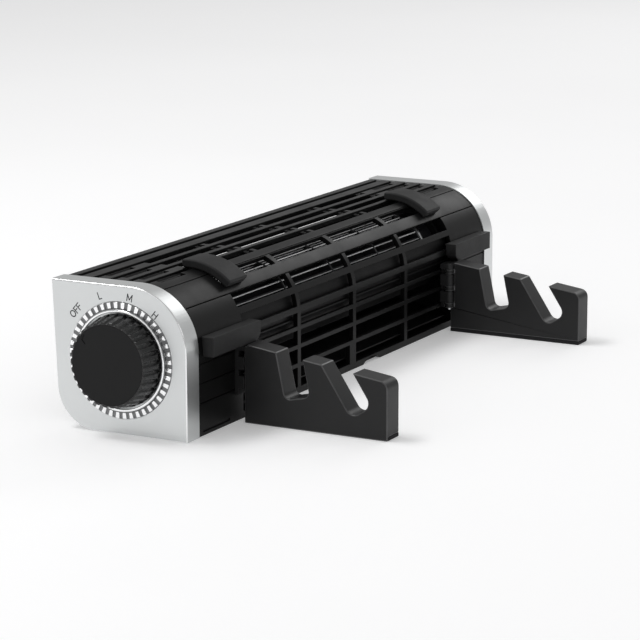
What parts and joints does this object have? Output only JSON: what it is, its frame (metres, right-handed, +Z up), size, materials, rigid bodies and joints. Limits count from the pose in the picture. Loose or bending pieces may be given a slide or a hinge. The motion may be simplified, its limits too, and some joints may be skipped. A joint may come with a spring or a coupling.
{
  "type": "boot dryer",
  "caption": "Low cross-flow blower with silver end caps, rotary dial, slatted black housing, rubber rests and folding slotted feet.",
  "frame": {"origin": "middle of the housing's base, on the rest plane", "axes": "+X along the length away from the dial, +Y towards the rear, +Z up"},
  "size_m": [0.3738, 0.1643, 0.08],
  "materials": {
    "silver_cap": "fine satin with bright edges",
    "dial_silver": "polished",
    "knob_black": "matt",
    "knob_face_black": "fine matt",
    "steel": "satin",
    "housing_black": "fine grain",
    "inner_black": "matt",
    "guide_steel": "satin",
    "guide_grey": "satin",
    "fan_silver": "bright",
    "bush_rubber": "matt",
    "motor_black": "satin",
    "board_green": "gloss",
    "board_parts": "matt",
    "saddle_rubber": "matt",
    "bumper_rubber": "matt",
    "foot_black": "satin",
    "sole_rubber": "matt"
  },
  "bodies": {
    "housing": {"knob_end_cap": "silver_cap", "far_end_cap": "silver_cap", "dial_ring": "dial_silver", "dial_bezel": "dial_silver", "switch_body": "inner_black", "switch_nut": "steel", "top_cover": "housing_black", "shoulder_cover": "housing_black", "front_grille": "housing_black", "rear_panel": "housing_black", "base_plate": "housing_black", "near_bulkhead": "inner_black", "far_bulkhead": "inner_black", "scroll_guide": "guide_steel", "tongue_guide": "guide_grey", "bearing_holder": "inner_black", "bearing_bush": "bush_rubber", "motor_can": "motor_black", "motor_face": "steel", "motor_clamp": "inner_black", "control_board": "board_green", "board_parts": "board_parts", "power_inlet": "inner_black", "inlet_pin": "steel", "near_saddle": "saddle_rubber", "far_saddle": "saddle_rubber", "near_bumper": "bumper_rubber", "far_bumper": "bumper_rubber", "near_hinge_bracket": "foot_black", "far_hinge_bracket": "foot_black", "hinge_pins": "steel", "base_screws": "steel"},
    "knob": {"knob": "knob_black", "knob_face": "knob_face_black", "switch_shaft": "steel"},
    "fan": {"fan_wheel": "fan_silver", "fan_shaft": "steel"},
    "near_foot": {"near_foot": "foot_black", "near_foot_sole": "sole_rubber"},
    "far_foot": {"far_foot": "foot_black", "far_foot_sole": "sole_rubber"}
  },
  "joints": [
    {"name": "knob_turn", "type": "hinge", "parent": "housing", "child": "knob", "pos_m": [-0.1866, 0, 0.038], "axis": [1, 0, 0], "range_deg": [0, 88]},
    {"name": "fan_spin", "type": "hinge", "parent": "housing", "child": "fan", "pos_m": [0, -0.006, 0.044], "axis": [1, 0, 0], "continuous": true},
    {"name": "near_foot_fold", "type": "hinge", "parent": "housing", "child": "near_foot", "pos_m": [-0.1176, -0.0427, 0.027], "axis": [0, 0, 1], "range_deg": [0, 90]},
    {"name": "far_foot_fold", "type": "hinge", "parent": "housing", "child": "far_foot", "pos_m": [0.1096, -0.0427, 0.027], "axis": [0, 0, -1], "range_deg": [0, 90]}
  ]
}
